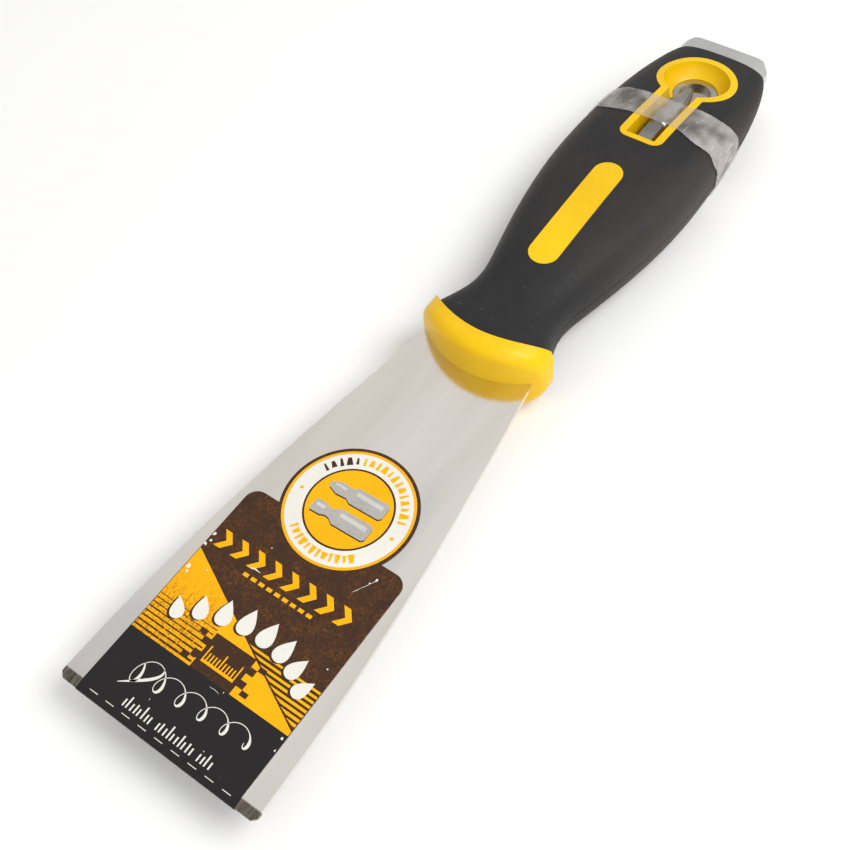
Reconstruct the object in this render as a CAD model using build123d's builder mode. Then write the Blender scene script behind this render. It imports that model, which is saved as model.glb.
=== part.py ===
"""Painter's scraper with a 50 mm blade, a two-colour handle, a hammer cap and two screwdriver bits.

The tool lies flat: +Y runs from the scraping edge to the hammer cap, +X is across the blade and
+Z is up out of the front face. Z = 0 is the middle plane of the blade and of the handle, and the
origin is the centre of the tool's box. Lengths along the tool are stations, counted in mm from
the scraping edge, and at() turns a station into a Y value.
"""
from build123d import *
from math import copysign, cos, pi, radians, sin
import os

# Overall
overall_length = 229.15
label_thickness = 0.15

# Blade: (station, half width) of the side outline, from the edge to the mouth of the collar
blade_width = 50.0
blade_thickness = 1.2
blade_side = [(12.0, 24.8), (25.0, 24.3), (45.0, 22.8), (65.0, 20.7), (85.0, 18.0), (108.0, 14.5)]
edge_corner = 1.0
bevel_length = 2.2
bevel_depth = 0.3
shoulder_station = 111.0
shoulder_step = 0.4
shoulder_slope = 3.0
tang_half_width = 9.0
tang_narrow_station = 196.0
tang_neck_half_width = 7.5
tang_neck_length = 6.0
tenon_half_width = 5.0

# Handle form: (station, half width, half thickness), the same on all four sides
handle_sections = [
    (103.0, 17.4, 9.6),
    (109.0, 16.8, 9.5),
    (114.5, 15.3, 9.1),
    (119.0, 13.3, 8.8),
    (123.5, 12.1, 8.7),
    (128.5, 12.1, 8.9),
    (135.0, 13.4, 9.4),
    (142.0, 15.0, 9.8),
    (150.0, 16.6, 10.2),
    (159.0, 18.0, 10.5),
    (168.0, 18.9, 10.6),
    (177.0, 19.2, 10.4),
    (186.0, 19.1, 9.8),
    (195.0, 18.6, 8.7),
    (204.0, 17.8, 7.4),
    (212.0, 16.6, 6.1),
    (219.0, 15.0, 5.0),
    (224.6, 12.8, 4.2),
]
section_power = 2.7
section_steps = 12
skin = 2.2
proud = 0.12
seam_width = 0.16
seam_depth = 0.35

# Collar: a saddle between two arcs on the centre line, cut from a blank that runs past its end
collar_front_station = 102.8
collar_front_radius = 23.0
collar_rear_station = 107.9
collar_rear_radius = 21.7
collar_half_width = 16.8
collar_half_height = 10.5
collar_end_station = 114.3
collar_spare = 4.0
collar_front_round = 3.0
collar_end_round = 1.5

# Cap on the butt, struck as a hammer
cap_station = 224.6
cap_half_width = 12.8
cap_half_height = 4.2
cap_corner = 2.6
cap_edge = 0.6

# Front and back inlays of the yellow core, and the keyhole recess round the hanging hole
inlay_start = 135.9
inlay_end = 164.1
inlay_radius = 3.75
hole_station = 210.3
rim_radius = 10.5
dish_radius = 8.7
dish_bottom_radius = 5.9
dish_bottom = 1.5
dish_curve_inset = 0.7
dish_curve_height = 3.9
dish_curve_top = 6.6
frame_start = 178.2
frame_half_width = 5.9
frame_corner = 2.8
frame_neck_round = 1.0
trough_start = 179.8
trough_half_width = 3.9
trough_floor = 1.4

# Eyelet rolled into the tang's hole
eyelet_radius = 4.2
eyelet_wall = 0.5
eyelet_lip_radius = 5.7
eyelet_lip_top = 1.35
eyelet_lip_round = 0.35

# Rivets through the core and the tang
rivet_stations = (127.0, 172.5)
rivet_radius = 1.6
rivet_head_radius = 3.0
rivet_head_height = 1.2
rivet_cover = 0.6

# One-inch insert bits with a 1/4 inch hexagon
bit_length = 25.4
bit_across_flats = 6.35
bit_start = 181.6
bit_shank = 12.5
bit_taper_end = 13.3
bit_neck_radius = 2.9
bit_neck_end = 18.5
bit_gap = 0.1
bit_end_radius = 2.8
bit_end_chamfer = 0.9
notch_station = 7.5
notch_radius = 1.6
notch_depth = 0.45
phillips_point_radius = 0.9
phillips_wing = 1.0
phillips_flute_end = 16.8
slotted_blade_width = 5.5
slotted_tip_thickness = 0.9
slotted_wedge_start = 17.0

# Adhesive tape wound once round the handle over the bits
tape_start = 186.0
tape_end = 198.5
tape_thickness = 0.3

# Label wrapped over the scraping edge
label_half_width = 20.3
label_top = 53.5
label_corner = 3.0
label_back = 17.0
badge_station = 60.2
badge_radius = 15.0

# Reach of the cutting blocks, past every face of the tool
beyond = 40.0

# How close to a face an edge or corner lies when it belongs to that face
pick_gap = 0.1

handle_end = cap_station
butt = overall_length / 2
bit_axis_height = trough_floor + bit_gap + bit_across_flats / 2
bit_corner = bit_across_flats / 3 ** 0.5


def at(station):
    """Y of a station along the tool."""
    return station + label_thickness - overall_length / 2


def mirrored(front):
    """The same solid on the other side of the middle plane."""
    return mirror(front, about=Plane.XY, mode=Mode.PRIVATE)


def save(part, name):
    """Label a finished sub-part and write its file."""
    part.label = name
    export_step(part, f"parts/{name}.step")


def rounded_outline(half_width, half_height):
    """Closed ring of points with the handle's rounded section."""
    ring = []
    for step in range(4 * section_steps):
        turn = pi * step / (2 * section_steps)
        across = half_width * abs(cos(turn)) ** (2 / section_power)
        up = half_height * abs(sin(turn)) ** (2 / section_power)
        ring.append((copysign(across, cos(turn)), copysign(up, sin(turn))))
    return ring


def half_form(inset):
    """Front half of the handle's rounded form, drawn in by inset all round."""
    with BuildPart() as form:
        for station, half_width, half_thickness in handle_sections:
            with BuildSketch(Plane.XZ.offset(-at(station))):
                with BuildLine():
                    Spline(rounded_outline(half_width - inset, half_thickness - inset), periodic=True)
                make_face()
        loft()
        split(bisect_by=Plane.XY, keep=Keep.TOP)
    return form.part


def behind_collar():
    """Block that holds all of the handle behind the collar's rear arc."""
    centre = collar_rear_station + collar_rear_radius
    with BuildPart() as block:
        with BuildSketch(Plane.XY.offset(-beyond)):
            with Locations((0, at(centre))):
                Circle(collar_rear_radius)
            with Locations((0, at((centre + handle_end) / 2))):
                Rectangle(2 * beyond, handle_end - centre)
        extrude(amount=2 * beyond)
    return block.part


def window_block():
    """Upright block with the plan shape of the inlay and of the keyhole frame."""
    with BuildPart() as block:
        with BuildSketch(Plane.XY.offset(trough_floor)):
            with Locations((0, at((inlay_start + inlay_end) / 2))):
                SlotCenterToCenter(inlay_end - inlay_start, 2 * inlay_radius, rotation=90)
        with BuildSketch(Plane.XY.offset(trough_floor)) as keyhole:
            with Locations((0, at((frame_start + hole_station) / 2))):
                Rectangle(2 * frame_half_width, hole_station - frame_start)
            near = keyhole.vertices().group_by(Axis.Y)[0]
            fillet(near, frame_corner)
            with Locations((0, at(hole_station))):
                Circle(rim_radius)
            neck_band = (at(hole_station - rim_radius), at(hole_station - frame_half_width))
            necks = [v for v in keyhole.vertices() if neck_band[0] < v.Y < neck_band[1]]
            fillet(necks, frame_neck_round)
        extrude(amount=beyond)
    return block.part


form_outer = half_form(0.0)
form_proud = half_form(-proud)
form_core = half_form(skin)
form_seam = half_form(seam_depth)
handle_block = behind_collar()
windows = window_block()

# --- Blade: tapered sides, ground edge, full tang and a tenon that passes through the cap
with BuildPart() as blade:
    with BuildSketch(Plane.XY.offset(-blade_thickness / 2)):
        with BuildLine() as right_side:
            start = (blade_width / 2 - edge_corner, at(0))
            corner = (blade_width / 2, at(edge_corner))
            side = [corner] + [(half, at(station)) for station, half in blade_side]
            shoulder = (blade_side[-1][1] - shoulder_step, at(shoulder_station))
            tang_foot = (tang_half_width, at(shoulder_station + shoulder_slope))
            tang_side = (tang_half_width, at(tang_narrow_station))
            neck_foot = (tang_neck_half_width, at(cap_station - tang_neck_length))
            neck_end = (tang_neck_half_width, at(cap_station))
            Line((0, at(0)), start)
            Line(start, corner)
            Spline(side)
            Line(side[-1], shoulder)
            Line(shoulder, tang_foot)
            Line(tang_foot, tang_side)
            Line(tang_side, neck_foot)
            Line(neck_foot, neck_end)
            Line(neck_end, (tenon_half_width, at(cap_station)))
            Line((tenon_half_width, at(cap_station)), (tenon_half_width, butt))
            Line((tenon_half_width, butt), (0, butt))
            mirror(about=Plane.YZ)
        make_face()
    extrude(amount=blade_thickness)
    with Locations((0, at(hole_station), 0)):
        Hole(eyelet_radius + eyelet_wall)
    with Locations([(0, at(station), 0) for station in rivet_stations]):
        Hole(rivet_radius)
    edges = blade.edges().filter_by(Axis.X).filter_by(lambda e: abs(e.center().Y - at(0)) < pick_gap)
    chamfer(edges, bevel_depth, bevel_length, reference=blade.faces().sort_by(Axis.Y)[0])

# --- Rivets: two solid rivets that clamp the tang between the core halves
rivet_solids = []
for station in rivet_stations:
    nearest = sorted(handle_sections, key=lambda section: abs(section[0] - station))[:2]
    head_top = min(section[2] for section in nearest) - skin - rivet_cover
    with BuildPart() as rivet:
        with BuildSketch(Plane.XY.offset(-head_top)):
            with Locations((0, at(station))):
                Circle(rivet_radius)
        extrude(amount=2 * head_top)
        with BuildSketch(Plane.XY.offset(head_top - rivet_head_height)):
            with Locations((0, at(station))):
                Circle(rivet_head_radius)
        extrude(amount=rivet_head_height)
        mirror(about=Plane.XY)
    rivet_solids.append(rivet.part.solid())

# --- Core front: yellow half with the inlay, the keyhole rim, the dish and the bit's trough
with BuildPart() as core_front:
    add(form_core)
    add(windows)
    add(form_proud, mode=Mode.INTERSECT)
    add(handle_block, mode=Mode.INTERSECT)
core_blank = core_front.part

with BuildPart() as core_front:
    add(core_blank)
    with BuildSketch(Plane.YZ) as dish:
        with BuildLine():
            bottom = (at(hole_station) + dish_bottom_radius, dish_bottom)
            wall = (at(hole_station) + dish_radius - dish_curve_inset, dish_curve_height)
            lip = (at(hole_station) + dish_radius, dish_curve_top)
            top = (at(hole_station) + dish_radius, beyond)
            Line((at(hole_station), 0), (at(hole_station) + dish_bottom_radius, 0))
            Line((at(hole_station) + dish_bottom_radius, 0), bottom)
            ThreePointArc(bottom, wall, lip)
            Line(lip, top)
            Line(top, (at(hole_station), beyond))
            Line((at(hole_station), beyond), (at(hole_station), 0))
        make_face()
    revolve(axis=Axis((0, at(hole_station), 0), (0, 0, 1)), mode=Mode.SUBTRACT)
    with BuildSketch(Plane.XY.offset(trough_floor)):
        with Locations((0, at((trough_start + hole_station) / 2))):
            Rectangle(2 * trough_half_width, hole_station - trough_start)
    extrude(amount=beyond, mode=Mode.SUBTRACT)
    add(blade.part, mode=Mode.SUBTRACT)
    for solid in rivet_solids:
        add(solid, mode=Mode.SUBTRACT)

# --- Grip front: black rubber skin over the core, with a shallow seam at the middle plane
with BuildPart() as seam_strip:
    with BuildSketch():
        with Locations((0, at((collar_front_station + handle_end) / 2))):
            Rectangle(2 * beyond, handle_end - collar_front_station)
    extrude(amount=seam_width / 2)
    add(form_seam, mode=Mode.SUBTRACT)

with BuildPart() as grip_front:
    add(form_outer)
    add(handle_block, mode=Mode.INTERSECT)
    add(seam_strip.part, mode=Mode.SUBTRACT)
    add(core_blank, mode=Mode.SUBTRACT)
    add(blade.part, mode=Mode.SUBTRACT)

core_back = mirrored(core_front.part)
grip_back = mirrored(grip_front.part)

# --- Collar: one yellow moulding round the blade's shoulders
with BuildPart() as collar:
    with BuildSketch(Plane.XZ.offset(-at(collar_end_station + collar_spare))):
        with BuildLine():
            Spline(rounded_outline(collar_half_width, collar_half_height), periodic=True)
        make_face()
    extrude(amount=collar_end_station + collar_spare - collar_front_station)
    with BuildSketch(Plane.XY.offset(-beyond)):
        with Locations((0, at(collar_front_station + collar_front_radius))):
            Circle(collar_front_radius)
    extrude(amount=2 * beyond, mode=Mode.INTERSECT)
    rim_limit = at(collar_front_station) + pick_gap
    front_rim = collar.edges().filter_by(lambda e: e.bounding_box().min.Y < rim_limit)
    fillet(front_rim, collar_front_round)
    with BuildSketch(Plane.XY.offset(-beyond)) as collar_plan:
        with Locations((0, at(collar_end_station))):
            Rectangle(2 * collar_half_width, beyond, align=(Align.CENTER, Align.MAX))
        fillet(collar_plan.vertices().group_by(Axis.Y)[-1], collar_end_round)
        with Locations((0, at(collar_rear_station + collar_rear_radius))):
            Circle(collar_rear_radius, mode=Mode.SUBTRACT)
    extrude(amount=2 * beyond, mode=Mode.INTERSECT)
    add(blade.part, mode=Mode.SUBTRACT)

# --- Hammer cap: steel block on the butt, slotted for the tang's tenon
with BuildPart() as hammer_cap:
    with BuildSketch(Plane.XZ.offset(-at(cap_station))):
        with BuildLine():
            Spline(rounded_outline(cap_half_width, cap_half_height), periodic=True)
        make_face()
    extrude(amount=at(cap_station) - butt)
    with BuildSketch(Plane.XY.offset(-beyond)) as cap_plan:
        with Locations((0, (at(cap_station) + butt) / 2)):
            Rectangle(2 * cap_half_width, butt - at(cap_station))
        chamfer(cap_plan.vertices().group_by(Axis.Y)[-1], cap_corner)
    extrude(amount=2 * beyond, mode=Mode.INTERSECT)
    with BuildSketch(Plane.YZ.offset(-beyond)) as cap_side:
        with Locations(((at(cap_station) + butt) / 2, 0)):
            Rectangle(butt - at(cap_station), 2 * cap_half_height)
        chamfer(cap_side.vertices().group_by(Axis.Y)[-1], cap_edge)
    extrude(amount=2 * beyond, mode=Mode.INTERSECT)
    add(blade.part, mode=Mode.SUBTRACT)

# --- Eyelet: steel tube through the tang's hole with a rolled lip on each side
with BuildPart() as eyelet:
    with BuildSketch(Plane.YZ) as eyelet_half:
        with Locations((at(hole_station) + eyelet_radius, 0)):
            Rectangle(eyelet_wall, 2 * eyelet_lip_top, align=(Align.MIN, Align.CENTER))
            with GridLocations(0, blade_thickness / 2 + eyelet_lip_top, 1, 2):
                Rectangle(eyelet_lip_radius - eyelet_radius, eyelet_lip_top - blade_thickness / 2,
                          align=(Align.MIN, Align.CENTER))
        rolled = eyelet_half.vertices().filter_by(lambda v: abs(v.Z) > eyelet_lip_top - pick_gap)
        fillet(rolled, eyelet_lip_round)
    revolve(axis=Axis((0, at(hole_station), 0), (0, 0, 1)))


def bit_blank():
    """Hexagonal shank with a notch round its corners and a round neck, lying along the trough."""
    shank_plane = Plane(origin=(0, at(bit_start), bit_axis_height), x_dir=(1, 0, 0), z_dir=(0, 1, 0))
    bit_axis = Axis((0, 0, bit_axis_height), (0, 1, 0))
    with BuildPart() as blank:
        with BuildSketch(shank_plane):
            RegularPolygon(bit_across_flats / 2, 6, major_radius=False)
        extrude(amount=bit_length)
        with BuildSketch(Plane.YZ):
            with BuildLine():
                Polyline(
                    (at(bit_start), bit_axis_height),
                    (at(bit_start), bit_axis_height + bit_end_radius),
                    (at(bit_start + bit_end_chamfer), bit_axis_height + bit_across_flats),
                    (at(bit_start + bit_shank), bit_axis_height + bit_across_flats),
                    (at(bit_start + bit_shank), bit_axis_height + bit_across_flats / 2),
                    (at(bit_start + bit_taper_end), bit_axis_height + bit_neck_radius),
                    (at(bit_start + bit_length), bit_axis_height + bit_neck_radius),
                    (at(bit_start + bit_length), bit_axis_height),
                    close=True,
                )
            make_face()
        revolve(axis=bit_axis, mode=Mode.INTERSECT)
        notch_height = bit_axis_height + bit_corner + notch_radius - notch_depth
        with BuildSketch(Plane.YZ):
            with Locations((at(bit_start + notch_station), notch_height)):
                Circle(notch_radius)
        revolve(axis=bit_axis, mode=Mode.SUBTRACT)
    return blank.part


# --- Phillips bit: the blank with a coned point and four flutes
with BuildPart() as phillips_bit:
    add(bit_blank())
    with BuildSketch(Plane.YZ):
        with BuildLine():
            Polyline(
                (at(bit_start + bit_neck_end), bit_axis_height + bit_neck_radius),
                (at(bit_start + bit_length), bit_axis_height + phillips_point_radius),
                (at(bit_start + bit_length), bit_axis_height + bit_across_flats),
                (at(bit_start + bit_neck_end), bit_axis_height + bit_across_flats),
                close=True,
            )
        make_face()
    revolve(axis=Axis((0, 0, bit_axis_height), (0, 1, 0)), mode=Mode.SUBTRACT)
    for quarter in range(4):
        turn = radians(45 + 90 * quarter)
        outward = Vector(cos(turn), 0, sin(turn))
        root = phillips_wing / 2 ** 0.5
        tip = Vector(0, at(bit_start + bit_length), bit_axis_height) + outward * root
        back = Vector(0, at(bit_start + phillips_flute_end), bit_axis_height) + outward * bit_neck_radius
        run = back - tip
        with BuildSketch(Plane(origin=tip, x_dir=outward, z_dir=run)):
            reach = bit_across_flats
            Polygon((0, 0), (reach, reach), (reach, -reach), align=None)
        extrude(amount=run.length, mode=Mode.SUBTRACT)

# --- Slotted bit: the blank with a wedge point, for the trough on the back
with BuildPart() as slotted_front:
    add(bit_blank())
    with BuildSketch(Plane.YZ.offset(-beyond)):
        for side in (1, -1):
            with BuildLine():
                Polyline(
                    (at(bit_start + slotted_wedge_start), bit_axis_height + side * bit_neck_radius),
                    (at(bit_start + bit_length), bit_axis_height + side * slotted_tip_thickness / 2),
                    (at(bit_start + bit_length), bit_axis_height + side * bit_across_flats),
                    (at(bit_start + slotted_wedge_start), bit_axis_height + side * bit_across_flats),
                    close=True,
                )
            make_face()
    extrude(amount=2 * beyond, mode=Mode.SUBTRACT)
    with BuildSketch(Plane.XY):
        with GridLocations(slotted_blade_width + bit_across_flats, 0, 2, 1):
            with Locations((0, at(bit_start + bit_length))):
                Rectangle(bit_across_flats, 2 * (bit_length - bit_neck_end))
    extrude(amount=beyond, mode=Mode.SUBTRACT)

slotted_bit = mirrored(slotted_front.part)

# --- Tape: one turn of thin clear film round the handle, over both bits
form_tape = half_form(-proud - tape_thickness)
with BuildPart() as retaining_tape:
    add(form_tape)
    add(mirrored(form_tape))
    with BuildSketch(Plane.XY.offset(-beyond)):
        with Locations((0, at((tape_start + tape_end) / 2))):
            Rectangle(2 * beyond, tape_end - tape_start)
    extrude(amount=2 * beyond, mode=Mode.INTERSECT)
    add(form_proud, mode=Mode.SUBTRACT)
    add(mirrored(form_proud), mode=Mode.SUBTRACT)

# --- Label: paper sleeve folded over the scraping edge, with a round badge on its front
with BuildPart() as label_sleeve:
    with BuildSketch(Plane.YZ.offset(-beyond)):
        with BuildLine():
            Polyline(
                (at(badge_station + badge_radius), 0),
                (at(badge_station + badge_radius), blade_thickness / 2 + label_thickness),
                (at(bevel_length), blade_thickness / 2 + label_thickness),
                (-butt, blade_thickness / 2 - bevel_depth + label_thickness),
                (-butt, -blade_thickness / 2 + bevel_depth - label_thickness),
                (at(bevel_length), -blade_thickness / 2 - label_thickness),
                (at(label_back), -blade_thickness / 2 - label_thickness),
                (at(label_back), 0),
                close=True,
            )
        make_face()
    extrude(amount=2 * beyond)
    with BuildSketch(Plane.XY.offset(-beyond)) as label_plan:
        with Locations((0, (-butt + at(label_top)) / 2)):
            Rectangle(2 * label_half_width, at(label_top) + butt)
        fillet(label_plan.vertices().group_by(Axis.Y)[-1], label_corner)
        with Locations((0, at(badge_station))):
            Circle(badge_radius)
    extrude(amount=2 * beyond, mode=Mode.INTERSECT)
    add(blade.part, mode=Mode.SUBTRACT)

os.makedirs("parts", exist_ok=True)
save(blade.part, "blade")
save(core_front.part, "core_front")
save(core_back, "core_back")
save(grip_front.part, "grip_front")
save(grip_back, "grip_back")
save(collar.part, "collar")
save(Compound(children=rivet_solids), "tang_rivets")
save(hammer_cap.part, "hammer_cap")
save(eyelet.part, "eyelet")
save(phillips_bit.part, "phillips_bit")
save(slotted_bit, "slotted_bit")
save(retaining_tape.part, "retaining_tape")
save(label_sleeve.part, "blade_label")
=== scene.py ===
"""Looks of the painter's scraper: materials, printed label, wrinkled tape, floor, light and camera.

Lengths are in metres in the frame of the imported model: +Y from the scraping edge to the cap, +Z out
of the labelled face. Stations are counted in mm from the scraping edge.
"""
import math
import random

import bmesh
import bpy
from mathutils import Matrix, Vector, noise


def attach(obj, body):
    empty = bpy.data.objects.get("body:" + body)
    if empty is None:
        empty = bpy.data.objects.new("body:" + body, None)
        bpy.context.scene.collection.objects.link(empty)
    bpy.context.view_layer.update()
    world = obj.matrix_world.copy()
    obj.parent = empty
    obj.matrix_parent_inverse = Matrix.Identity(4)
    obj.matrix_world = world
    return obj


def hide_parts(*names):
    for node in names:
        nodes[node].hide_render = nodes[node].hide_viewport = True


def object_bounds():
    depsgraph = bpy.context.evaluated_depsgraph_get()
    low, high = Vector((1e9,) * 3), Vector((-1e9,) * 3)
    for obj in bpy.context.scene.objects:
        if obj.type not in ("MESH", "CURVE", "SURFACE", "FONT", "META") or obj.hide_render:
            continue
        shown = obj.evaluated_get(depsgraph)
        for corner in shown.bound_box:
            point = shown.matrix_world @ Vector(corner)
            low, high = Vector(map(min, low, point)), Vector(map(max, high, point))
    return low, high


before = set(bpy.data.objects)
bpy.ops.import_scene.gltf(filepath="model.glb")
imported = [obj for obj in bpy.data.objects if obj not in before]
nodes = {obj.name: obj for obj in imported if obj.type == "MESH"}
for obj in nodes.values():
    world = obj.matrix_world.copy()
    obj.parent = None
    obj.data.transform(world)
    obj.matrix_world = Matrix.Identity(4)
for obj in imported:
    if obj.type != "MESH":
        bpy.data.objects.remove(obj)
cad_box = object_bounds()
random.seed(7)

MM = 0.001
EDGE_Y = -114.425
BODY = "tool"

# Screen colours, 0 to 255
BLADE_DARK = (222, 216, 208)
BLADE_LIGHT = (238, 233, 226)
BLADE_BLUE = (196, 203, 210)
BLADE_SPOT = (120, 112, 104)
GROUND_DARK = (72, 64, 56)
GROUND_LIGHT = (150, 142, 132)
CAP_DARK = (206, 206, 206)
CAP_LIGHT = (226, 226, 225)
EYELET_DARK = (176, 172, 164)
EYELET_LIGHT = (208, 205, 198)
BIT_DARK = (132, 130, 130)
BIT_LIGHT = (168, 166, 164)
CORE_MAIN = (244, 199, 0)
CORE_SHADE = (232, 184, 0)
CORE_FLECK = (150, 96, 10)
COLLAR_MAIN = (246, 199, 0)
COLLAR_SHADE = (236, 186, 0)
COLLAR_FLECK = (138, 84, 12)
RUBBER_DARK = (33, 33, 35)
RUBBER_BLOOM = (49, 46, 44)
# Painted sheen: lighter brownish grey on the rounded sides of the grip
PAINTED_SIDE_SHEEN = (74, 67, 61)
RUBBER_SCUFF = (132, 122, 112)
RUBBER_DUST = (110, 100, 88)
RUBBER_SHEEN = (150, 132, 116)
FIELD_DARK = (60, 40, 28)
FIELD_GOLD = (128, 78, 18)
FIELD_PATCH = (62, 40, 28)
BAND_BLACK = (35, 33, 34)
BAND_WORN = (104, 100, 98)
ORANGE_TONE = (255, 181, 2)
ORANGE_WORN = (226, 146, 8)
ORANGE_SPECK = (120, 70, 16)
FILM_CLEAR = (186, 180, 172)
FILM_MILKY = (214, 209, 202)
FLOOR_SHADE = (246, 246, 245)
FLOOR_TONE = (250, 250, 249)

# Middle part of a noise's values, where its contrast lies
MIDDLE = (0.3, 0.7)

# Places on the tool, as stations or distances across it in mm
GROUND_END = 2.3
GROUND_START = 2.0
SCUFF_START = 118
SCUFF_END = 128
BLACK_BAND_END = 15.6
SPECK_START_X = -4.0
SPECK_FULL_X = -9.0
SPECK_START = 33.5
SPECK_FULL = 24.0
# Across the grip in mm: where its painted side sheen starts and where it is strongest
SHEEN_START_X = 12.5
SHEEN_END_X = 19.5
WINDOW_HALF_WIDTH = 5.6
WINDOW_FADE_X = 7.5


def at(station):
    """Y in mm of a station along the tool."""
    return station + EDGE_Y


def linear(red, green, blue):
    """Screen colour, 0 to 255, as linear light with alpha."""
    out = []
    for value in (red, green, blue):
        value /= 255
        out.append(value / 12.92 if value <= 0.04045 else ((value + 0.055) / 1.055) ** 2.4)
    return (*out, 1.0)


# --- Materials -------------------------------------------------------------------------------

class Paint:
    """A principled material and short calls that build its nodes."""

    def __init__(self, name, **constants):
        self.material = bpy.data.materials.new(name)
        self.material.use_nodes = True
        self.tree = self.material.node_tree
        self.shader = self.tree.nodes["Principled BSDF"]
        self.place = self.tree.nodes.new("ShaderNodeTexCoord").outputs["Object"]
        for key, value in constants.items():
            self.shader.inputs[key.replace("_", " ")].default_value = value

    def node(self, kind, inputs=(), **settings):
        made = self.tree.nodes.new(kind)
        for key, value in settings.items():
            setattr(made, key, value)
        for key, value in dict(inputs).items():
            if isinstance(value, bpy.types.NodeSocket):
                self.tree.links.new(value, made.inputs[key])
            else:
                made.inputs[key].default_value = value
        return made

    def noise(self, scale, stretch=(1, 1, 1), detail=3.0, rough=0.55, shift=(0, 0, 0)):
        """Fractal noise, with scale in cycles per metre times the stretch of each axis."""
        mapping = self.node("ShaderNodeMapping", {"Vector": self.place, "Location": shift, "Scale": stretch})
        made = self.node("ShaderNodeTexNoise", {
            "Vector": mapping.outputs[0], "Scale": scale, "Detail": detail, "Roughness": rough})
        return made.outputs["Fac"]

    def axis(self, name):
        return self.node("ShaderNodeSeparateXYZ", {"Vector": self.place}).outputs[name]

    def span(self, value, low, high, out_low=0.0, out_high=1.0):
        """Maps low..high onto out_low..out_high, clamped."""
        made = self.node("ShaderNodeMapRange", {
            "Value": value, "From Min": low, "From Max": high, "To Min": out_low, "To Max": out_high})
        return made.outputs[0]

    def math(self, operation, first, second=0.0):
        return self.node("ShaderNodeMath", {0: first, 1: second}, operation=operation).outputs[0]

    def mix(self, amount, first, second):
        made = self.tree.nodes.new("ShaderNodeMix")
        made.data_type = "RGBA"
        for index, value in ((0, amount), (6, first), (7, second)):
            if isinstance(value, bpy.types.NodeSocket):
                self.tree.links.new(value, made.inputs[index])
            else:
                made.inputs[index].default_value = value
        return made.outputs[2]

    def set(self, key, value):
        self.tree.links.new(value, self.shader.inputs[key])

    def source(self, key):
        """Socket that already feeds one of the shader's inputs."""
        return self.shader.inputs[key].links[0].from_socket

    def bump(self, height, distance, strength=1.0):
        made = self.node("ShaderNodeBump", {"Height": height, "Distance": distance, "Strength": strength})
        self.set("Normal", made.outputs[0])


def speckle(paint, scale, low, high):
    """Mask of scattered specks."""
    return paint.span(paint.noise(scale, detail=4.0, rough=0.7), low, high)


def steel(name, dark, light, roughness, grain):
    """Satin steel with fine grain, cloudy streaks along the tool and faint scratches."""
    paint = Paint(name, Metallic=1.0)
    clouds = paint.noise(1.0, stretch=(70, 9, 40), rough=0.6)
    fine = paint.noise(1.0, stretch=grain, detail=2.0, rough=0.6, shift=(3, 1, 2))
    scratches = paint.noise(1.0, stretch=(900, 25, 300), detail=5.0, rough=0.75, shift=(9, 4, 1))
    scratched = paint.math("MULTIPLY", paint.span(scratches, 0.66, 0.74), 0.25)
    tone = paint.mix(paint.span(clouds, *MIDDLE), linear(*dark), linear(*light))
    tone = paint.mix(scratched, tone, linear(*[0.75 * v for v in dark]))
    paint.set("Base Color", tone)
    paint.set("Roughness", paint.span(fine, 0.25, 0.75, roughness - 0.05, roughness + 0.07))
    paint.bump(fine, 0.000004, 0.12)
    return paint


def blade_steel():
    """Blade: steel with a bluish cloud, a dark ground edge and grinding marks across it."""
    paint = steel("blade steel", BLADE_DARK, BLADE_LIGHT, roughness=0.13, grain=(1700, 40, 700))
    base = paint.source("Base Color")
    cloud = paint.noise(1.0, stretch=(45, 14, 10), detail=2.0, rough=0.5, shift=(2, 7, 0))
    base = paint.mix(paint.span(cloud, 0.56, 0.72, 0.0, 0.55), base, linear(*BLADE_BLUE))
    spots = speckle(paint, 420.0, 0.735, 0.76)
    base = paint.mix(paint.math("MULTIPLY", spots, 0.5), base, linear(*BLADE_SPOT))
    ground = paint.span(paint.axis("Y"), at(GROUND_END) * MM, at(GROUND_START) * MM)
    marks = paint.noise(1.0, stretch=(2600, 160, 300), rough=0.75, shift=(1, 5, 3))
    edge = paint.mix(paint.span(marks, 0.35, 0.65), linear(*GROUND_DARK), linear(*GROUND_LIGHT))
    paint.set("Base Color", paint.mix(ground, base, edge))
    rough = paint.source("Roughness")
    paint.set("Roughness", paint.math("ADD", rough, paint.math("MULTIPLY", ground, 0.22)))
    return paint.material


def plastic(name, main, shade, roughness, fleck, fleck_low):
    """Moulded plastic with uneven tone, small flecks and a fine surface."""
    paint = Paint(name, Roughness=roughness, Specular_IOR_Level=0.32)
    tone = paint.mix(paint.span(paint.noise(60.0), *MIDDLE), linear(*shade), linear(*main))
    flecks = speckle(paint, 700.0, fleck_low, fleck_low + 0.02)
    paint.set("Base Color", paint.mix(flecks, tone, linear(*fleck)))
    fine = paint.noise(2400.0, rough=0.6)
    paint.set("Roughness", paint.span(fine, *MIDDLE, roughness - 0.06, roughness + 0.08))
    paint.bump(fine, 0.00002, 0.25)
    return paint.material


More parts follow.
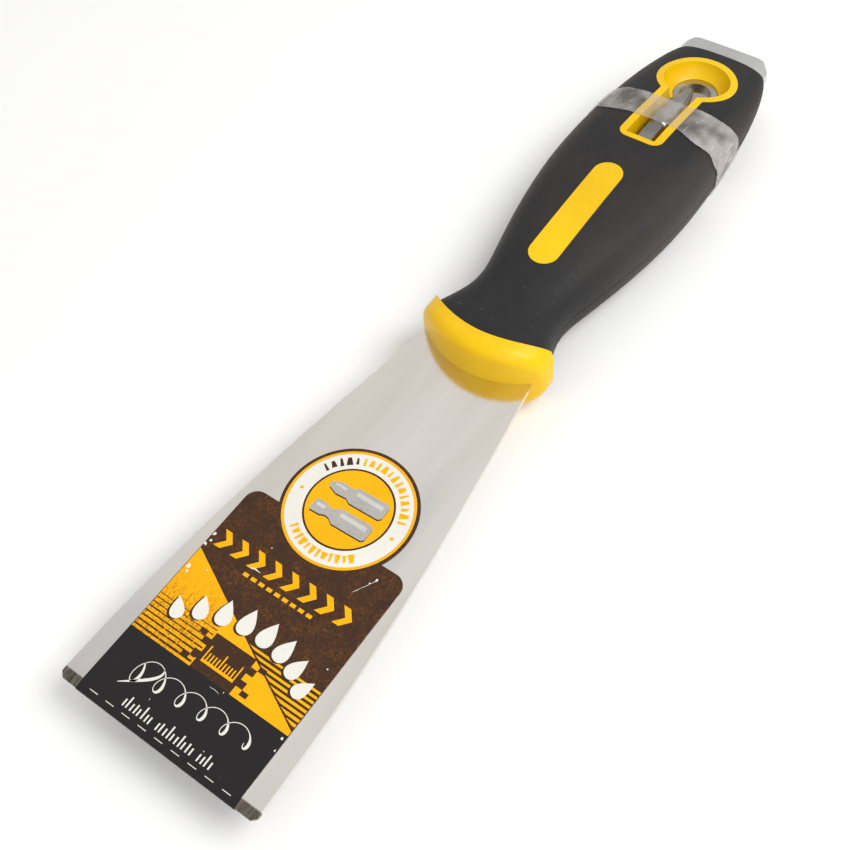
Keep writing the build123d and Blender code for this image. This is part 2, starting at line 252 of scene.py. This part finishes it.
def rubber():
    """Grip: black rubber with a brownish dusty bloom, a painted brownish sheen on its sides, fine grain and
    pale scuffs behind the collar.
    """
    paint = Paint("black rubber", Specular_IOR_Level=0.28, Sheen_Weight=0.06, Sheen_Roughness=0.45,
                  Sheen_Tint=linear(*RUBBER_SHEEN))
    bloom = paint.noise(45.0, stretch=(1, 0.6, 1), detail=4.0, rough=0.6)
    tone = paint.mix(paint.span(bloom, 0.42, 0.78), linear(*RUBBER_DARK), linear(*RUBBER_BLOOM))
    # Painted sheen: the grip's rounded sides turn lighter and brownish towards its outer edges
    across = paint.math("ABSOLUTE", paint.axis("X"))
    side = paint.span(across, SHEEN_START_X * MM, SHEEN_END_X * MM, 0.0, 0.55)
    tone = paint.mix(side, tone, linear(*PAINTED_SIDE_SHEEN))
    scuffs = paint.noise(1.0, stretch=(180, 1600, 900), rough=0.7, shift=(3, 2, 5))
    near_collar = paint.span(paint.axis("Y"), at(SCUFF_END) * MM, at(SCUFF_START) * MM, 0.15, 0.8)
    scuffed = paint.math("MULTIPLY", paint.span(scuffs, 0.70, 0.75), near_collar)
    tone = paint.mix(scuffed, tone, linear(*RUBBER_SCUFF))
    tone = paint.mix(speckle(paint, 650.0, 0.72, 0.75), tone, linear(*RUBBER_DUST))
    paint.set("Base Color", tone)
    fine = paint.noise(1500.0, detail=4.0, rough=0.65)
    paint.set("Roughness", paint.span(fine, *MIDDLE, 0.5, 0.68))
    paint.bump(fine, 0.00006, 0.35)
    return paint.material


def brown_print(paint):
    """Mottled brown of the label's field."""
    mottle = paint.noise(1.0, stretch=(1900, 1500, 400), rough=0.8, shift=(2, 3, 4))
    tone = paint.mix(paint.span(mottle, 0.44, 0.72), linear(*FIELD_DARK), linear(*FIELD_GOLD))
    patches = paint.span(paint.noise(260.0), 0.35, 0.7)
    return paint.mix(patches, linear(*FIELD_PATCH), tone)


def label_paper():
    """Label base: black at the folded edge and on the back, mottled brown over the rest of the front."""
    paint = Paint("label paper", Roughness=0.42, Specular_IOR_Level=0.2)
    past_band = paint.math("GREATER_THAN", paint.axis("Y"), at(BLACK_BAND_END) * MM)
    front = paint.math("MULTIPLY", past_band, paint.math("GREATER_THAN", paint.axis("Z"), 0.0))
    black = paint.mix(speckle(paint, 900.0, 0.70, 0.74), linear(*BAND_BLACK), linear(*BAND_WORN))
    paint.set("Base Color", paint.mix(front, black, brown_print(paint)))
    fine = paint.noise(900.0, rough=0.6)
    paint.set("Roughness", paint.span(fine, *MIDDLE, 0.34, 0.5))
    paint.bump(fine, 0.00001, 0.3)
    return paint.material


def ink(name, colour, worn, low=0.70):
    """Printed colour with small worn specks."""
    paint = Paint(name, Roughness=0.42, Specular_IOR_Level=0.2)
    faded = linear(*[0.97 * v for v in colour])
    tone = paint.mix(paint.span(paint.noise(120.0), *MIDDLE), faded, linear(*colour))
    paint.set("Base Color", paint.mix(speckle(paint, 1500.0, low, low + 0.03), tone, linear(*worn)))
    fine = paint.noise(900.0)
    paint.set("Roughness", paint.span(fine, *MIDDLE, 0.36, 0.5))
    return paint


def orange_ink():
    """Orange of the label, with brown specks that thicken towards its left side."""
    paint = ink("orange print", ORANGE_TONE, ORANGE_WORN)
    left = paint.span(paint.axis("X"), SPECK_START_X * MM, SPECK_FULL_X * MM)
    low = paint.span(paint.axis("Y"), at(SPECK_START) * MM, at(SPECK_FULL) * MM)
    grain = paint.noise(1.0, stretch=(2300, 1300, 300), rough=0.8, shift=(5, 1, 2))
    corner = paint.math("MULTIPLY", left, low)
    amount = paint.math("MULTIPLY", corner, paint.span(grain, 0.46, 0.62, 0.0, 0.75))
    paint.set("Base Color", paint.mix(amount, paint.source("Base Color"), linear(*ORANGE_SPECK)))
    return paint.material


def clear_film():
    """Tape: clear glossy film with milky patches where it has lifted."""
    paint = Paint("clear tape", Roughness=0.2, IOR=1.46)
    patches = paint.noise(1.0, stretch=(120, 110, 120), detail=2.5, rough=0.5, shift=(1, 2, 7))
    milky = paint.span(patches, 0.36, 0.6)
    lines = paint.noise(1.0, stretch=(900, 240, 600), rough=0.6, shift=(4, 2, 9))
    creases = paint.math("MULTIPLY", paint.span(lines, 0.58, 0.68), 0.22)
    paint.set("Base Color", paint.mix(milky, linear(*FILM_CLEAR), linear(*FILM_MILKY)))
    across = paint.math("ABSOLUTE", paint.axis("X"))
    side = paint.span(across, WINDOW_HALF_WIDTH * MM, WINDOW_FADE_X * MM, 0.55, 1.0)
    amount = paint.math("ADD", paint.span(milky, 0.0, 1.0, 0.14, 0.42), creases)
    paint.set("Alpha", paint.math("MULTIPLY", amount, side))
    paint.set("Roughness", paint.span(milky, 0.0, 1.0, 0.12, 0.38))
    wrinkles = paint.noise(1.0, stretch=(500, 260, 400), detail=4.0, rough=0.6)
    paint.bump(wrinkles, 0.00025, 0.6)
    return paint.material


STEEL_BLADE = blade_steel()
STEEL_CAP = steel("cap steel", CAP_DARK, CAP_LIGHT, 0.34, (700, 1200, 60)).material
STEEL_EYELET = steel("eyelet steel", EYELET_DARK, EYELET_LIGHT, 0.16, (900, 900, 300)).material
STEEL_BIT = steel("bit steel", BIT_DARK, BIT_LIGHT, 0.3, (900, 120, 900)).material
YELLOW = plastic("yellow plastic", CORE_MAIN, CORE_SHADE, 0.36, CORE_FLECK, 0.765)
YELLOW_COLLAR = plastic("yellow collar", COLLAR_MAIN, COLLAR_SHADE, 0.34, COLLAR_FLECK, 0.745)
RUBBER = rubber()
PAPER = label_paper()
ORANGE = orange_ink()
WHITE = ink("white print", (234, 231, 222), (202, 194, 180), 0.66).material
BROWN_INK = ink("brown print", (66, 42, 28), (96, 62, 30), 0.6).material
PICTURE = ink("grey print", (178, 175, 170), (150, 147, 142), 0.6).material
PICTURE_LIGHT = ink("pale grey print", (206, 203, 198), (186, 183, 178), 0.6).material
FILM = clear_film()

CAD_LOOKS = {
    "blade": STEEL_BLADE,
    "blade_label": PAPER,
    "collar": YELLOW_COLLAR,
    "core_front": YELLOW,
    "core_back": YELLOW,
    "grip_front": RUBBER,
    "grip_back": RUBBER,
    "hammer_cap": STEEL_CAP,
    "eyelet": STEEL_EYELET,
    "phillips_bit": STEEL_BIT,
    "slotted_bit": STEEL_BIT,
    "retaining_tape": FILM,
    "tang_rivets": STEEL_CAP,
}
for node_name, look in CAD_LOOKS.items():
    slots = nodes[node_name].data.materials
    slots.clear()
    slots.append(look)


# --- Mesh pieces -----------------------------------------------------------------------------

def finish_piece(name, mesh, material, smooth=False):
    """Closes a bmesh into an object that rides on the tool."""
    bmesh.ops.recalc_face_normals(mesh, faces=mesh.faces)
    data = bpy.data.meshes.new(name)
    mesh.to_mesh(data)
    mesh.free()
    data.materials.append(material)
    data.polygons.foreach_set("use_smooth", [smooth] * len(data.polygons))
    piece = bpy.data.objects.new(name, data)
    bpy.context.scene.collection.objects.link(piece)
    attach(piece, BODY)
    return piece


LABEL_TOP = 0.75
BEVEL_END = 2.2
FOLD_TOP = 0.45
FOLD_STATION = -0.15
LAYER = 0.02
SINK = 0.01


def paper_height(station):
    """Z in mm of the label's front face, which drops over the ground edge."""
    if station >= BEVEL_END:
        return LABEL_TOP
    return FOLD_TOP + (LABEL_TOP - FOLD_TOP) * (station - FOLD_STATION) / (BEVEL_END - FOLD_STATION)


class Print:
    """Flat printed shapes of one colour, a hair above the label."""

    def __init__(self, name, material, layer):
        self.name, self.material, self.rise = name, material, layer * LAYER
        self.mesh = bmesh.new()

    def pair(self, x, station):
        """Bottom and top vertex over one point of the label."""
        z = paper_height(station)
        low = self.mesh.verts.new((x * MM, at(station) * MM, (z - SINK) * MM))
        high = self.mesh.verts.new((x * MM, at(station) * MM, (z + self.rise) * MM))
        return low, high

    def plate(self, outline):
        """Closed plate with one outline."""
        pairs = [self.pair(x, s) for x, s in outline]
        self.mesh.faces.new([p[1] for p in pairs])
        self.mesh.faces.new([p[0] for p in reversed(pairs)])
        for here, after in zip(pairs, pairs[1:] + pairs[:1]):
            self.mesh.faces.new((here[0], after[0], after[1], here[1]))

    def band(self, left, right, closed=False):
        """Closed strip between two lines of points."""
        lefts = [self.pair(*p) for p in left]
        rights = [self.pair(*p) for p in right]
        count = len(lefts)
        for i in range(count if closed else count - 1):
            j = (i + 1) % count
            for a, b, c, d in (
                (lefts[i][1], lefts[j][1], rights[j][1], rights[i][1]),
                (lefts[i][0], rights[i][0], rights[j][0], lefts[j][0]),
                (lefts[i][0], lefts[j][0], lefts[j][1], lefts[i][1]),
                (rights[i][0], rights[i][1], rights[j][1], rights[j][0]),
            ):
                self.mesh.faces.new((a, b, c, d))
        if not closed:
            self.mesh.faces.new((lefts[0][0], lefts[0][1], rights[0][1], rights[0][0]))
            self.mesh.faces.new((lefts[-1][0], rights[-1][0], rights[-1][1], lefts[-1][1]))

    def box(self, x0, x1, s0, s1):
        """Rectangle between two x and two stations."""
        self.plate([(x0, s0), (x1, s0), (x1, s1), (x0, s1)])

    def ring(self, x, station, outer, inner, steps=96):
        """Round band between two radii."""
        turns = [2 * math.pi * i / steps for i in range(steps)]
        self.band([(x + outer * math.cos(t), station + outer * math.sin(t)) for t in turns],
                  [(x + inner * math.cos(t), station + inner * math.sin(t)) for t in turns], True)

    def disc(self, x, station, radius, steps=64):
        turns = [2 * math.pi * i / steps for i in range(steps)]
        self.plate([(x + radius * math.cos(t), station + radius * math.sin(t)) for t in turns])

    def turned(self, outline, x, station, turn, size=1.0):
        """Plate from an outline drawn round the origin, turned and placed."""
        c, s = math.cos(turn) * size, math.sin(turn) * size
        self.plate([(x + c * u - s * v, station + s * u + c * v) for u, v in outline])

    def stroke(self, line, widths):
        """Pen stroke along a line of points, with its width at each point."""
        left, right = [], []
        for i, (x, s) in enumerate(line):
            ax, as_ = line[max(i - 1, 0)]
            bx, bs = line[min(i + 1, len(line) - 1)]
            length = math.hypot(bx - ax, bs - as_) or 1.0
            nx, ns = -(bs - as_) / length, (bx - ax) / length
            left.append((x + nx * widths[i] / 2, s + ns * widths[i] / 2))
            right.append((x - nx * widths[i] / 2, s - ns * widths[i] / 2))
        self.band(left, right)

    def done(self):
        """Turns the shapes so far into one piece of the label."""
        return finish_piece(self.name, self.mesh, self.material)


# Label art, in mm: x across the tool and stations along it
SIDE = 20.15
WEDGE_LEFT = 36.2
WEDGE_RIGHT = 16.6
STRIPES = 8

# Badge: radii of its rings, discs and ticks round its centre
BADGE = 60.2
RIM_OUTER, RIM_INNER = 14.25, 13.65
WHITE_OUTER, WHITE_INNER = 13.62, 9.85
THIN_OUTER, THIN_INNER = 9.75, 9.45
MIDDLE_DISC = 9.4
TICK_RADIUS = 11.75


def diagonal(station):
    """X of the slanting edge between orange and brown."""
    return -SIDE + 2 * SIDE * (WEDGE_LEFT - station) / (WEDGE_LEFT - WEDGE_RIGHT)


def drop_outline(steps=28):
    """Paint drop, point up, about one unit tall."""
    points = []
    for i in range(steps):
        t = 2 * math.pi * i / steps
        points.append((0.42 * math.sin(t) * math.sin(t / 2) ** 1.3, 0.5 * math.cos(t)))
    return points


# Orange field with the slanting edge, and orange stripes on the brown to its right
STRIPE_PITCH = 1.08
FIRST_STRIPE = 17.55
field = Print("label_orange_field", ORANGE, 1)
field.plate([(-SIDE, BLACK_BAND_END), (SIDE, BLACK_BAND_END), (SIDE, WEDGE_RIGHT), (-SIDE, WEDGE_LEFT)])
for k in range(STRIPES):
    low = FIRST_STRIPE + STRIPE_PITCH * k
    high = low + (0.62 - 0.02 * k)
    field.plate([(diagonal(low) + 1.2, low), (SIDE, low), (SIDE, high), (diagonal(high) + 0.6, high)])
field.done()

# Brown stripes on the orange, broken into dashes of uneven length
DASH_PITCH = 1.12
FIRST_DASHES = 16.2
DASHES_STOP = -5.4
DASHES_END = -4.9
stripes = Print("label_brown_stripes", BROWN_INK, 2)
for k in range(STRIPES):
    low = FIRST_DASHES + DASH_PITCH * k
    x = -SIDE + 0.05
    while x < DASHES_STOP:
        step = random.uniform(1.6, 5.5)
        end = min(x + step, DASHES_END)
        wide = 0.42 - 0.035 * k + random.uniform(-0.04, 0.04)
        tilt = random.uniform(-0.03, 0.03)
        stripes.plate([(x, low), (end, low + tilt), (end, low + wide), (x, low + wide)])
        x = end + random.uniform(0.06, 0.22)
stripes.done()

# Brown block with stepped squares on both sides: distance out, station, width and height of each
BLOCK_MIDDLE = 0.5
BLOCK_HALF_WIDTH = 5.1
BLOCK_TOP = 23.8
SQUARES = [(5.1, 20.6, 1.6, 1.5), (6.7, 22.1, 1.7, 1.1), (5.1, 17.6, 1.6, 1.5), (6.7, 16.5, 1.7, 1.1)]
block = Print("label_brown_block", BROWN_INK, 3)
block.box(BLOCK_MIDDLE - BLOCK_HALF_WIDTH, BLOCK_MIDDLE + BLOCK_HALF_WIDTH, BLACK_BAND_END, BLOCK_TOP)
for side in (-1, 1):
    for out, low, wide, tall in SQUARES:
        near = BLOCK_MIDDLE + side * out
        far = BLOCK_MIDDLE + side * (out + wide)
        block.box(min(near, far), max(near, far), low, low + tall)
block.done()

# Ruler mark in the brown block
RULER_LEFT, RULER_RIGHT = -3.6, 4.6
RULER_LOW, RULER_HIGH = 17.6, 18.2
RULER_PITCH = 0.79
RULER_TICK = 0.3
ruler = Print("label_ruler_mark", ORANGE, 4)
ruler.box(RULER_LEFT, RULER_RIGHT, RULER_LOW, RULER_HIGH)
for k in range(11):
    tall = 3.0 if k % 5 == 0 else 1.7
    left = RULER_LEFT + RULER_PITCH * k
    ruler.box(left, left + RULER_TICK, RULER_HIGH, RULER_HIGH + tall)
ruler.done()

# White drops on an arc, each over a dark shadow: x, station, lean in degrees and height
DROPS = [(-15.0, 23.6, -30, 5.0), (-10.8, 26.2, -22, 5.4), (-6.0, 28.0, -13, 5.8), (-0.9, 29.0, -4, 6.0),
         (4.2, 29.1, 4, 6.0), (9.0, 28.4, 12, 5.8), (13.2, 26.8, 20, 5.4), (16.8, 24.2, 30, 5.0)]
shadow = Print("label_drop_shadows", BROWN_INK, 2)
drops = Print("label_white_drops", WHITE, 3)
SHADOW_SHIFT_X = 0.35
SHADOW_SHIFT_S = 0.4
for x, s, lean, size in DROPS:
    shadow.turned(drop_outline(), x - SHADOW_SHIFT_X, s - SHADOW_SHIFT_S, -math.radians(lean), size)
    drops.turned(drop_outline(), x, s, -math.radians(lean), size)
shadow.done()
drops.done()

# Orange chevrons with a row of dashes under them
CHEVRON_LEFT = -16.9
CHEVRON_PITCH = 4.45
CHEVRON_STATION = 40.3
CHEVRON_HALF_HEIGHT = 2.1
CHEVRON = [(-1.6, -1), (0.1, -1), (1.9, 0), (0.1, 1), (-1.6, 1), (0.2, 0)]
UNDERLINE_LEFT = -8.8
UNDERLINE_PITCH = 2.05
UNDERLINE_DASH = 1.3
UNDERLINE_LOW, UNDERLINE_HIGH = 36.2, 37.0
chevrons = Print("label_chevrons", ORANGE, 1)
for k in range(8):
    x = CHEVRON_LEFT + CHEVRON_PITCH * k
    chevrons.plate([(x + u, CHEVRON_STATION + CHEVRON_HALF_HEIGHT * v) for u, v in CHEVRON])
for k in range(9):
    left = UNDERLINE_LEFT + UNDERLINE_PITCH * k
    chevrons.box(left, left + UNDERLINE_DASH, UNDERLINE_LOW, UNDERLINE_HIGH)
chevrons.done()

# White pen flourish in the black band: a row of loops, and a hooked stroke at its start
LOOPS = 5.5
LOOP_POINTS = 200
TAIL_POINTS = 40
flourish = Print("label_flourish", WHITE, 1)
line, widths = [], []
for i in range(LOOP_POINTS):
    t = i / (LOOP_POINTS - 1)
    wave = 2 * math.pi * LOOPS * t
    grow = 1.0 - 0.25 * t
    first = 1.25 if t < 0.2 else 1.0
    across = -14.0 + 29.5 * t + 2.1 * grow * math.sin(wave + 1.0)
    along = 9.7 + 1.2 * t + 2.3 * grow * math.cos(wave + 1.0) * first
    line.append((across, along))
    widths.append(0.16 + 0.5 * max(0.0, math.sin(wave + 0.4)) ** 2)
flourish.stroke(line, widths)
tail, tail_width = [], []
for i in range(TAIL_POINTS):
    t = i / (TAIL_POINTS - 1)
    tail.append((-14.2 + 6.5 * math.sin(1.9 * t), 5.4 + 9.0 * t - 2.0 * t * t))
    tail_width.append(0.15 + 0.5 * math.sin(math.pi * t))
flourish.stroke(tail, tail_width)
flourish.done()

# Row of small upright marks in three groups, and dashes along the fold
MARKS_END = 12.6
MARK_STATION = 2.45
MARK_WIDTH = 0.34
MARK_HEIGHTS = (1.5, 2.4, 1.5, 1.9, 1.5, 2.6, 1.5)
MARK_STEPS = (0.85, 1.05, 0.95)
MARKS_IN_GROUP = 11
GAP_IN_GROUP = 8
FOLD_LEFT = -17.6
FOLD_PITCH = 4.25
FOLD_DASH = 2.1
FOLD_LOW, FOLD_HIGH = 1.25, 1.4
marks = Print("label_small_marks", WHITE, 1)
x = -10.2
k = 0
while x < MARKS_END:
    if k % MARKS_IN_GROUP != GAP_IN_GROUP:
        tall = MARK_HEIGHTS[k % len(MARK_HEIGHTS)]
        marks.box(x, x + MARK_WIDTH, MARK_STATION, MARK_STATION + tall)
    x += MARK_STEPS[k % len(MARK_STEPS)]
    k += 1
for k in range(9):
    left = FOLD_LEFT + FOLD_PITCH * k
    marks.box(left, left + FOLD_DASH, FOLD_LOW, FOLD_HIGH)
marks.done()

# Badge: rings, and ticks in three arcs from one angle to another in degrees
badge_orange = Print("badge_orange", ORANGE, 1)
badge_orange.ring(0, BADGE, RIM_OUTER, RIM_INNER)
badge_orange.disc(0, BADGE, MIDDLE_DISC, 96)
badge_orange.done()
badge_white = Print("badge_white_ring", WHITE, 1)
badge_white.ring(0, BADGE, WHITE_OUTER, WHITE_INNER)
badge_white.done()
ticks = Print("badge_orange_ticks", ORANGE, 2)
dark_ticks = Print("badge_brown_ticks", BROWN_INK, 2)
TICK_HALF_WIDTHS = (0.34, 0.62, 0.42, 0.74)
TICK_HALF_HEIGHTS = (0.95, 0.8, 1.0)
TICK_TAPER = 0.55
TICK_DOT = 0.42
for start, stop, count, target in ((152, 118, 5, dark_ticks), (110, 16, 13, ticks), (-128, -50, 12, ticks)):
    for k in range(count):
        turn = math.radians(start + (stop - start) * k / (count - 1))
        wide = TICK_HALF_WIDTHS[k % len(TICK_HALF_WIDTHS)]
        tall = TICK_HALF_HEIGHTS[k % len(TICK_HALF_HEIGHTS)]
        outline = [(-wide, -tall), (wide, -tall), (wide * TICK_TAPER, tall), (-wide * TICK_TAPER, tall)]
        place = (TICK_RADIUS * math.cos(turn), BADGE + TICK_RADIUS * math.sin(turn))
        target.turned(outline, *place, turn - math.pi / 2)
for turn in (math.radians(186), math.radians(-4)):
    ticks.disc(TICK_RADIUS * math.cos(turn), BADGE + TICK_RADIUS * math.sin(turn), TICK_DOT, 20)
ticks.done()
dark_ticks.ring(0, BADGE, THIN_OUTER, THIN_INNER)
dark_ticks.done()

# Pictures of the two bits, drawn round their own middles with the point to the left
STAR_BIT = [(-7.9, 0), (-7.4, 0.75), (-5.4, 1.5), (-2.7, 1.35), (-1.5, 2.05), (5.9, 2.05), (6.6, 1.5),
            (6.6, -1.5), (5.9, -2.05), (-1.5, -2.05), (-2.7, -1.35), (-5.4, -1.5), (-7.4, -0.75)]
FLAT_BIT = [(-7.8, 1.5), (-5.2, 1.5), (-4.0, 1.0), (-2.9, 1.2), (-1.6, 2.05), (5.9, 2.05), (6.6, 1.5),
            (6.6, -1.5), (5.9, -2.05), (-1.6, -2.05), (-2.9, -1.2), (-4.0, -1.0), (-5.2, -1.5), (-7.8, -1.5)]
bit_shadow = Print("badge_picture_shadow", BROWN_INK, 2)
bit_picture = Print("badge_bit_pictures", PICTURE, 3)
bit_light = Print("badge_picture_light", PICTURE_LIGHT, 4)
PICTURE_X = 0.6
PICTURE_TURN = 0.02
for outline, s in ((STAR_BIT, 63.3), (FLAT_BIT, 57.4)):
    bit_shadow.turned(outline, PICTURE_X + 0.15, s - 0.32, PICTURE_TURN, 0.99)
    bit_picture.turned(outline, PICTURE_X, s, PICTURE_TURN)
    bit_light.box(-0.6, 6.1, s + 0.2, s + 1.2)
bit_light.box(-6.0, -3.2, 63.4, 63.9)
bit_light.box(-6.6, -4.4, 57.3, 58.1)
bit_shadow.done()
bit_picture.done()
bit_light.done()

# Torn and scratched places: x, station and size of each chip
CHIPS = [
    (-19.8, 40.2, 0.5), (-19.5, 38.6, 0.35), (-19.9, 37.4, 0.45), (-19.3, 31.6, 0.6), (-18.9, 30.6, 0.35),
    (-15.5, 33.0, 0.25), (-7.6, 44.2, 0.18), (14.8, 50.2, 0.36), (14.0, 48.9, 0.2), (18.2, 30.0, 0.22),
    (19.6, 14.6, 0.35), (19.9, 12.2, 0.25), (4.6, 15.2, 0.16), (-6.4, 6.3, 0.12), (9.0, 4.6, 0.14),
]
chips = Print("label_worn_chips", WHITE, 4)
for x, s, size in CHIPS:
    turn0 = random.uniform(0, 6)
    outline = []
    for i in range(7):
        turn = turn0 + i * math.pi / 3.5
        wide = size * random.uniform(0.5, 1.0)
        tall = size * random.uniform(0.5, 1.3)
        outline.append((x + wide * math.cos(turn), s + tall * math.sin(turn)))
    chips.plate(outline)
scratch = [(12.2 + 0.5 * i + random.uniform(-0.05, 0.05), 45.4 + 0.88 * i) for i in range(6)]
chips.stroke(scratch, [0.05, 0.1, 0.04, 0.09, 0.05, 0.1])
chips.stroke([(-8.6, 38.3), (-7.4, 38.6), (-6.0, 38.5)], [0.1, 0.35, 0.1])
chips.stroke([(1.6, 14.6), (2.8, 14.7), (4.0, 14.5)], [0.05, 0.1, 0.05])
chips.done()

# --- Tape: a wrinkled turn of film over the grip and the bits ---------------------------------

# Handle under the tape: station, half width and half thickness in mm
TAPE_ROWS = [(177.0, 19.2, 10.4), (186.0, 19.1, 9.8), (195.0, 18.6, 8.7), (204.0, 17.8, 7.4)]
POWER = 2.7
TAPE_START = 187.2
TAPE_STOP = 197.3
START_SPREAD = 2.2
STOP_SPREAD = 1.4
EDGE_WANDER = 0.8
FILM_GAP = 0.22
FILM_THICKNESS = 0.05
FOLD_HEIGHT = 0.22
FOLD_LIMIT = 0.13


def handle_size(station):
    """Half width and half thickness of the handle in mm, on a smooth line through the rows."""
    width = thick = 0.0
    for i, (si, wi, ti) in enumerate(TAPE_ROWS):
        weight = 1.0
        for j, (sj, _, _) in enumerate(TAPE_ROWS):
            if i != j:
                weight *= (station - sj) / (si - sj)
        width += weight * wi
        thick += weight * ti
    return width, thick


def tape_point(turn, across, lift):
    """Point in mm on the tape at an angle round the handle, across being 0 to 1 along the tool."""
    right = max(0.0, math.cos(turn))
    start_wave = noise.noise((3.1 * math.cos(turn), 3.1 * math.sin(turn), 5.0))
    stop_wave = noise.noise((2.3 * math.cos(turn), 2.3 * math.sin(turn), 9.0))
    start = TAPE_START - START_SPREAD * right + EDGE_WANDER * start_wave
    stop = TAPE_STOP + STOP_SPREAD * right + EDGE_WANDER * stop_wave
    station = start + (stop - start) * across
    width, thick = handle_size(station)
    grow = FILM_GAP + lift
    x = math.copysign((width + grow) * abs(math.cos(turn)) ** (2 / POWER), math.cos(turn))
    z = math.copysign((thick + grow) * abs(math.sin(turn)) ** (2 / POWER), math.sin(turn))
    return x, at(station), z


def tape_mesh():
    """Two skins joined at their edges, with low folds."""
    rounds, rows = 300, 26
    mesh = bmesh.new()
    skins = []
    for thickness in (0.0, FILM_THICKNESS):
        grid = []
        for i in range(rounds):
            turn = 2 * math.pi * i / rounds
            ring = []
            for j in range(rows + 1):
                across = j / rows
                place = Vector((9 * math.cos(turn), 9 * math.sin(turn), 2.2 * across))
                folds = abs(noise.noise(place)) * FOLD_HEIGHT
                lift = min(FOLD_LIMIT, folds) + thickness
                ring.append(mesh.verts.new(Vector(tape_point(turn, across, lift)) * MM))
            grid.append(ring)
        skins.append(grid)
    inner, outer = skins
    for i in range(rounds):
        k = (i + 1) % rounds
        for j in range(rows):
            mesh.faces.new((outer[i][j], outer[k][j], outer[k][j + 1], outer[i][j + 1]))
            mesh.faces.new((inner[i][j], inner[i][j + 1], inner[k][j + 1], inner[k][j]))
        for j in (0, rows):
            mesh.faces.new((inner[i][j], inner[k][j], outer[k][j], outer[i][j]))
    return mesh


tape = finish_piece("wrinkled_tape", tape_mesh(), FILM, smooth=True)
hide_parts("retaining_tape")

# --- Floor, light and camera -------------------------------------------------------------------

# The tool rests on its collar and the back of the handle, with the blade clear of the floor
FLOOR_GAP = 0.0001
HALF_FLOOR = 4.0
floor_corners = [(x * HALF_FLOOR, y * HALF_FLOOR, 0) for x, y in ((-1, -1), (1, -1), (1, 1), (-1, 1))]
floor_data = bpy.data.meshes.new("floor")
floor_data.from_pydata(floor_corners, [], [(0, 1, 2, 3)])
floor = bpy.data.objects.new("floor", floor_data)
bpy.context.scene.collection.objects.link(floor)
floor.location = (0, 0, cad_box[0][2] - FLOOR_GAP)
floor_paint = Paint("floor", Roughness=0.9)
floor_tone = floor_paint.mix(floor_paint.noise(6.0), linear(*FLOOR_SHADE), linear(*FLOOR_TONE))
floor_paint.set("Base Color", floor_tone)
floor_data.materials.append(floor_paint.material)

world = bpy.data.worlds.new("studio")
bpy.context.scene.world = world
world.use_nodes = True
sky = world.node_tree.nodes["Background"].inputs
sky["Color"].default_value = (1.0, 0.995, 0.985, 1.0)
sky["Strength"].default_value = 0.62


def area_light(name, place, target, size, power):
    """Soft rectangular light that points at a target, in metres and watts."""
    data = bpy.data.lights.new(name, "AREA")
    data.shape = "RECTANGLE"
    data.size, data.size_y = size
    data.energy = power
    lamp = bpy.data.objects.new(name, data)
    bpy.context.scene.collection.objects.link(lamp)
    lamp.location = place
    lamp.rotation_euler = (Vector(target) - Vector(place)).to_track_quat("-Z", "Y").to_euler()


area_light("key", (0.5, 0.2, 0.8), (0, 0, 0), (0.5, 0.5), 5.2)
area_light("card", (-0.42, 0.33, 0.88), (0, 0, 0), (0.7, 0.7), 0.3)
area_light("fill", (0.45, -0.5, 0.5), (0, 0.02, 0), (0.5, 0.35), 1.3)

# Camera: its right, down and forward directions, and its place in metres
RIGHT = Vector((0.81327, 0.57801, -0.06702))
DOWN = Vector((0.4459, -0.69306, -0.56643))
FORWARD = Vector((-0.37385, 0.43078, -0.82138))
CAMERA_PLACE = (0.09489, -0.13449, 0.20669)
camera_data = bpy.data.cameras.new("camera")
camera_data.sensor_width = 36.0
camera_data.lens = 48.706
camera_data.shift_x = -0.00654
camera_data.shift_y = -0.00704
camera_data.clip_start = 0.01
camera = bpy.data.objects.new("camera", camera_data)
bpy.context.scene.collection.objects.link(camera)
turned = Matrix((RIGHT, -DOWN, -FORWARD)).transposed().to_4x4()
camera.matrix_world = Matrix.Translation(CAMERA_PLACE) @ turned
bpy.context.scene.camera = camera
bpy.context.scene.view_settings.view_transform = "Standard"

bpy.context.view_layer.update()
